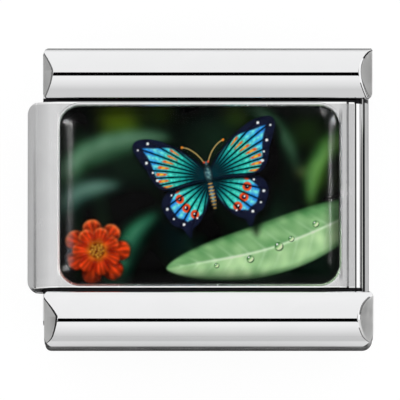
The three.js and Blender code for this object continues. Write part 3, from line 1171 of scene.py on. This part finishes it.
def wing(colour, u, v, kind):
    """One wing, its cells fanned out from the root."""
    shape = WINGS[kind]
    outline = spline(shape["outline"], 8)
    edge = outline_distance(outline, u, v)
    root, (low, high), cells = shape["root"], shape["turns"], shape["cells"]
    away = np.hypot(u - root[0], v - root[1])
    turn = np.degrees(np.arctan2(v - root[1], u - root[0]))
    depth = away / shape["reach"]
    pace = (turn - low) / (high - low) * cells + 0.5 * depth
    gap = np.abs(pace - np.round(pace))
    cell = gap * math.radians((high - low) / cells) * away

    field = laid(
        "0b5c66",
        (step(0.1, 0.5, depth), "22a79c"),
        (step(0.5, 0.85, depth + 0.06 * mottle(u, v, 0.5, 21)), "2a78c4"),
        (0.5 * step(0.12, 0.5, gap) * step(0.25, 0.6, depth), "8fe0c4"),
    )
    field = field * (1 + 0.12 * mottle(u, v, 0.11, 8))[..., None]
    if kind == "fore":
        band = np.abs(away - 1.35 - 0.12 * np.sin(turn * 0.12))
        field = laid(
            field,
            (step(0.22, 0.1, band) * step(0.03, 0.09, cell), "d9481c"),
            (step(0.1, 0.03, band) * step(0.05, 0.1, cell), "f5b538"),
        )
    else:
        for k in range(5):
            place = polar(root, 1.08, math.radians(-70 + 17 * k))
            field = spot(field, u, v, place, 0.13, "e0451f")
            field = spot(field, u, v, place, 0.065, "11132c")
            field = spot(field, u, v, (place[0] + 0.02, place[1] + 0.02), 0.025, "dff6ff")
    rim = 0.06 + 0.2 * step(0.55, 0.86, depth)
    field = laid(
        field,
        (step(0.03, 0.01, cell) * step(0.06, 0.2, depth), "041a20"),
        (step(rim + 0.04, rim - 0.03, -edge), "161a2c"),
    )
    reach = np.linspace(0.3, 1.1 * shape["reach"], 120)
    for k in range(cells + 1):
        middle = math.radians(low + (high - low) * (k + 0.35) / cells)
        inside = reach[outline_distance(outline, *polar(root, reach, middle)) < -SPOT_INSET]
        if len(inside) and inside[-1] > 0.62 * shape["reach"]:
            place = polar(root, inside[-1], middle)
            field = spot(field, u, v, place, 0.042 if k % 2 else 0.03, "dfe8ee")
    field = laid(field, (0.8 * step(0.34, 0.02, depth), "08222a"))
    lit = 0.9 + 0.22 * step(0.2, 0.9, depth) - 0.28 * step(0.25, 0.0, gap) * step(0.1, 0.2, depth)
    return laid(colour, (step(0.014, -0.014, edge), np.clip(field * lit[..., None], 0, 1)))


def butterfly(colour, x, y):
    """A butterfly from above, with its shadow."""
    u, v = turned(x - SHADOW_SHIFT[0], y - SHADOW_SHIFT[1], **BUTTERFLY)
    shade = np.zeros(x.shape)
    for side in (-1, 1):
        for shape in WINGS.values():
            edge = outline_distance(spline(shape["outline"], 3), side * u / SPREAD[side], v)
            shade = np.maximum(shade, step(0.16, -0.16, edge))
    colour = laid(colour, (0.75 * shade, "010403"))
    u, v = turned(x, y, **BUTTERFLY)
    for side in (-1, 1):
        across = side * u / SPREAD[side]
        colour = wing(colour, across, v, "hind")
        over = outline_distance(spline(WINGS["fore"]["outline"], 3), across, v + 0.05)
        colour = wing(laid(colour, (0.55 * step(0.08, -0.02, over), "02090c")), across, v, "fore")
        away, _ = along_line(spline([(side * a, b) for a, b in FEELER], 8, False), u, v)
        colour = laid(colour, (step(0.02, 0.01, np.abs(away)), "a08c58"))
        colour = spot(colour, u, v, (FEELER[-1][0] * side, FEELER[-1][1]), 0.036, "d47a26")
    for middle, across, along, code in BODY:
        gone = np.hypot(u / across, (v - middle) / along)
        body = laid(
            2.2 * ink(code),
            (step(0.1, 0.9, gone), code),
            ((0.3 + 0.3 * mottle(u, v, 0.07, 31)) * step(1.0, 0.3, gone), "7fa9a0"),
        )
        if middle < 0:
            body = laid(body, (0.7 * step(0.2, 0.8, np.sin(62 * v)), "cf9a30"))
        colour = laid(colour, (step(1.08, 0.94, gone), body))
    for side in (-1, 1):
        colour = spot(colour, u, v, (0.06 * side, 0.56), 0.028, "d8482a")
    return colour


def painted_picture(x, y):
    """The picture's colours on the screen's scale, at these places in the window."""
    colour = wood(x, y)
    for shape in FAR_LEAVES:
        colour = leaf(colour, x, y, *shape)
    colour = softened(colour, 7)
    for shape in NEAR_LEAVES:
        colour = leaf(colour, x, y, *shape)
    colour = softened(flower(colour, x, y), 1)
    colour = butterfly(drops(colour, x, y), x, y)
    # darker towards the print's edges: painted shade along the window's rim
    near = np.minimum(PANEL_HIGH.x - np.abs(x), PANEL_HIGH.y - np.abs(y))
    colour = (colour - INK_BLACK) * INK_GAIN
    return np.clip(colour * (0.5 + 0.5 * step(0.02, 0.55, near))[..., None], 0, 1)


def picture():
    """The printed panel: a fine grid that carries the colours, with straight sides and a flat back."""
    rows = round(2 * PANEL_HIGH.y / PICTURE_PITCH)
    columns = round(2 * PANEL_HIGH.x / PICTURE_PITCH)
    heights = np.linspace(-PANEL_HIGH.y, PANEL_HIGH.y, rows + 1)
    reach = [PANEL_HIGH.x - corner_inset(PANEL_HIGH.y - abs(at), WINDOW_CORNER) for at in heights]
    x = np.linspace(-1, 1, columns + 1)[None, :] * np.array(reach)[:, None]
    y = np.repeat(heights[:, None], columns + 1, 1)
    colours = painted_picture(x, y).reshape(-1, 3)
    colours = np.where(colours > 0.04045, ((colours + 0.055) / 1.055) ** 2.4, colours / 12.92)

    number = np.arange(x.size).reshape(x.shape)
    corners = (number[:-1, :-1], number[:-1, 1:], number[1:, 1:], number[1:, :-1])
    faces = np.stack([corner.ravel() for corner in corners], 1).tolist()
    edge = [*number[0], *number[1:-1, -1], *number[-1, ::-1], *number[-2:0:-1, 0]]
    count = len(edge)
    back = [x.size + i for i in range(count)]
    faces += [(back[i], back[i + 1 - count], edge[i + 1 - count], edge[i]) for i in range(count)]
    faces.append(back[::-1])
    places = np.stack([x.ravel(), y.ravel(), np.full(x.size, PANEL_HIGH.z)], 1)
    under = places[edge] * (1, 1, 0) + (0, 0, PANEL_LOW.z)

    mesh = bpy.data.meshes.new("picture")
    mesh.from_pydata([*places.tolist(), *under.tolist()], [], faces)
    shades = np.concatenate([colours, np.full((count, 3), PAPER)])
    attribute = mesh.color_attributes.new(name=PICTURE_COLOURS, type="FLOAT_COLOR", domain="POINT")
    attribute.data.foreach_set("color", np.hstack([shades, np.ones((len(shades), 1))]).ravel())
    return placed("picture", mesh)


made(picture(), "picture_print", "face", "printed_picture", [PRINT], "picture_panel")


# Studio

PICTURE_SIDE = 11.92  # the width of the camera's view at the link
LENS = 1200.0
SENSOR = 36.0
VIEW_ELEVATION = 83.5
AIM = Vector((0.01, -0.153, COVER_HIGH.z))
TO_CAMERA = Vector((0, -math.cos(math.radians(VIEW_ELEVATION)), math.sin(math.radians(VIEW_ELEVATION))))


def camera():
    data = bpy.data.cameras.new("camera")
    data.sensor_width = SENSOR
    data.lens = LENS
    data.clip_start = 0.05
    data.clip_end = 5
    cam = placed("camera", data)
    cam.location = (AIM + TO_CAMERA * (PICTURE_SIDE * LENS / SENSOR)) * MM
    cam.rotation_mode = "QUATERNION"
    cam.rotation_quaternion = (-TO_CAMERA).to_track_quat("-Z", "Y")
    bpy.context.scene.camera = cam


camera()

SHOWN = (1, 1, 1, 1)
TABLE_SHOWN = 0.93  # the rest of the table's white comes from the light that falls on it
TABLE_DIM = (0.1, 0.1, 0.1)
TABLE_PAPER = (0.72, 0.72, 0.72)
TABLE_DARK = (0.08, 0.08, 0.08)
# Millimetres on the table, for what the steel mirrors of it: a dark pad under the link, a painted shadow,
# dark cards beyond its ends, and a painted glow that grows towards the front and the back. Each change has
# a start and a run.
PAD = (5.25, 4.78, 6.6)  # reach along X, to the front and to the back
PAD_FADE = 0.25
CARD_RIGHT = (8.4, 1.0)
CARD_LEFT = (16.0, 4.0)
CARD_SIDE = 2.9
FRONT_GLOW, FRONT_MOST = (4.8, 0.6), 0.2
FRONT_END = (6.8, 2.2)
BACK_GLOW, BACK_MOST = (7.5, 6.5), 0.3


def floor():
    """A white table for the camera. What the steel mirrors of it is lit by the tent, with a painted shadow
    under the link and a painted glow.
    """
    bm = bmesh.new()
    bmesh.ops.create_grid(bm, x_segments=1, y_segments=1, size=4)
    obj = as_object(bm, "floor")
    obj.location.z = -0.00001
    material, tree, place = material_of("pale_table")
    x, y, _ = xyz(place)
    left, front = (maths("MULTIPLY", value, -1) for value in (x, y))

    def past(value, start, fade, low=0, high=1):
        return ranged(value, low, high, start * MM, (start + fade) * MM, smooth=True)

    reaches = zip((absolute(x), front, y), PAD)
    # the pad: a painted shadow under the link
    pad = maths("MULTIPLY", *[past(value, reach, PAD_FADE, 1, 0) for value, reach in reaches])
    cards = maths("ADD", past(x, *CARD_RIGHT), past(left, *CARD_LEFT))
    cards = maths("MULTIPLY", cards, past(absolute(y), CARD_SIDE, PAD_FADE, 1, 0))
    dark = maths("MAXIMUM", pad, cards)
    # a painted glow towards the front and the back
    glow = maths("MULTIPLY", past(front, *FRONT_GLOW, 0, FRONT_MOST), past(front, *FRONT_END, 1, 0))
    glow = maths("ADD", glow, past(y, *BACK_GLOW, 0, BACK_MOST))
    glow = maths("MULTIPLY", glow, maths("SUBTRACT", 1.0, dark))
    light = node(tree, "Emission", {0: SHOWN, 1: glow})
    paper = node(tree, "BsdfDiffuse", {0: tint(dark, TABLE_PAPER, TABLE_DARK)})
    white = node(tree, "Emission", {0: SHOWN, 1: TABLE_SHOWN})
    dim = node(tree, "BsdfDiffuse", {0: (*TABLE_DIM, 1)})
    rest, seen = (node(tree, "AddShader", {0: a, 1: b}) for a, b in ((paper, light), (white, dim)))
    shaded(for_camera(rest, seen))
    obj.data.materials.append(material)


floor()

# The tent round the link: angle from straight up, in degrees, and brightness. ALONG runs from -X to +X
# and ACROSS from +Y to -Y, where the gap for the camera is dark between two bright hems.
ALONG = [
    (-180, 0.7), (-90, 0.66), (-75, 0.7), (-45, 0.82), (-34, 0.92), (0, 0.94), (5, 0.66), (10, 0.43),
    (24, 0.43), (29, 1.1), (77, 1.1), (80, 0.06), (99, 0.06), (180, 0.7),
]
ACROSS = [
    (-180, 1.0), (-90, 1.0), (-20, 0.97), (0.2, 0.97), (0.6, 1.12), (1.4, 1.12), (1.6, 0.0), (15.4, 0.0),
    (15.6, 1.12), (17, 1.12), (18, 1.0), (30, 0.97), (50, 0.86), (68, 0.72), (80, 0.64), (90, 0.64),
    (180, 0.66),
]
BRIGHTEST = 2.0
SIDES_BLEND = (0.5, 0.66)  # how far sideways a direction points where ALONG takes over from ACROSS


def ramp(turn, stops):
    """Brightness by an angle in radians, from stops in degrees."""
    band = node(turn.id_data, "ValToRGB", {0: ranged(turn, 0, 1, -math.pi, math.pi)})
    elements = band.node.color_ramp.elements
    elements.remove(elements[1])
    elements[0].position = stops[0][0] / 360 + 0.5
    for angle, level in stops[1:]:
        elements.new(angle / 360 + 0.5)
    for element, (angle, level) in zip(elements, stops):
        element.color = (level / BRIGHTEST,) * 3 + (1,)
    return band


def tent():
    world = bpy.data.worlds.new("tent")
    bpy.context.scene.world = world
    tree = tree_of(world)
    x, y, z = xyz(node(tree, "TexCoord", out="Generated"))
    along = ramp(maths("ARCTAN2", x, z), ALONG)
    across = ramp(maths("ARCTAN2", maths("MULTIPLY", y, -1), z), ACROSS)
    sideways = absolute(x)
    share = maths("DIVIDE", sideways, maths("ADD", sideways, absolute(y)))
    light = tint(ranged(share, 0, 1, *SIDES_BLEND, smooth=True), across, along)
    rest = node(tree, "Background", {"Color": light, "Strength": BRIGHTEST})
    seen = node(tree, "Background", {"Color": SHOWN, "Strength": 1.0})
    shaded(for_camera(rest, seen), "OutputWorld")
    world.cycles.sampling_method = "MANUAL"
    world.cycles.sample_map_resolution = 1024


tent()

# Strip lights that only the clear dome mirrors: where the highlight lies on it, how far the dome leans
# there and towards which side (degrees from +X), the light's size along that side and square to it, how
# far it is turned, and its radiance. The rails don't shade them.
STRIP_AWAY = 14.0
STRIP_CORE = 0.1  # how far from its middle a strip stays at full strength, as a share of its size
Strip = namedtuple("Strip", "at lean towards size turn radiance")
STRIPS = {
    "left": Strip((-3.85, 0.1), 11, 180, (7.5, 6.0), 0, 22),
    "left_corner": Strip((-3.95, 2.2), 23, 164, (22, 4.4), -8, 165),
    "left_foot": Strip((-3.95, -2.2), 25, 198, (22, 5.0), 0, 90),
    "right": Strip((3.88, 0.2), 13, 0, (4.6, 6.4), 0, 54),
    "right_corner": Strip((3.98, 2.24), 29, 22, (20, 4.4), 22, 440),
    "right_top": Strip((3.68, 2.5), 29, 73, (24, 4.4), 13, 80),
}


def strip_light(name, strip, receivers, blockers):
    lean, towards = math.radians(strip.lean), math.radians(strip.towards)
    side = Vector((math.cos(towards), math.sin(towards), 0))
    normal = math.sin(lean) * side + math.cos(lean) * Vector((0, 0, 1))
    way = 2 * normal.dot(TO_CAMERA) * normal - TO_CAMERA
    square = way.cross(side).normalized()
    data = bpy.data.lights.new(name, "AREA")
    data.shape = "RECTANGLE"
    data.size, data.size_y = (size * MM for size in strip.size)
    data.energy = strip.radiance * math.pi * data.size * data.size_y
    data.cycles.max_bounces = 1
    tree = tree_of(data)
    level = 1.0
    for share in xyz(node(tree, "NewGeometry", out="Parametric"))[:2]:
        away = absolute(maths("SUBTRACT", share, 0.5))
        level = maths("MULTIPLY", ranged(away, 1, 0, STRIP_CORE, 0.5, smooth=True), level)
    shaded(node(tree, "Emission", {0: SHOWN, 1: level}), "OutputLight")
    light = placed(name, data)
    light.location = (Vector((*strip.at, DOME_HIGH.z)) + STRIP_AWAY * way) * MM
    light.rotation_mode = "QUATERNION"
    frame_of_light = Matrix((square.cross(way), square, way)).transposed()
    turn = Matrix.Rotation(math.radians(strip.turn), 3, way)
    light.rotation_quaternion = (turn @ frame_of_light).to_quaternion()
    light.visible_camera = light.visible_diffuse = light.visible_transmission = False
    light.light_linking.receiver_collection = receivers
    light.light_linking.blocker_collection = blockers


def strip_lights():
    groups = []
    for name, piece in (("dome_only", "dome_resin"), ("picture_only", "picture_print")):
        groups.append(bpy.data.collections.new(name))
        groups[-1].objects.link(bpy.data.objects[piece])
    for name, strip in STRIPS.items():
        strip_light(f"strip_{name}", strip, *groups)


strip_lights()

scene = bpy.context.scene
scene.view_settings.view_transform = "Standard"
scene.view_settings.look = "None"
scene.cycles.max_bounces = 16
scene.cycles.transmission_bounces = 12
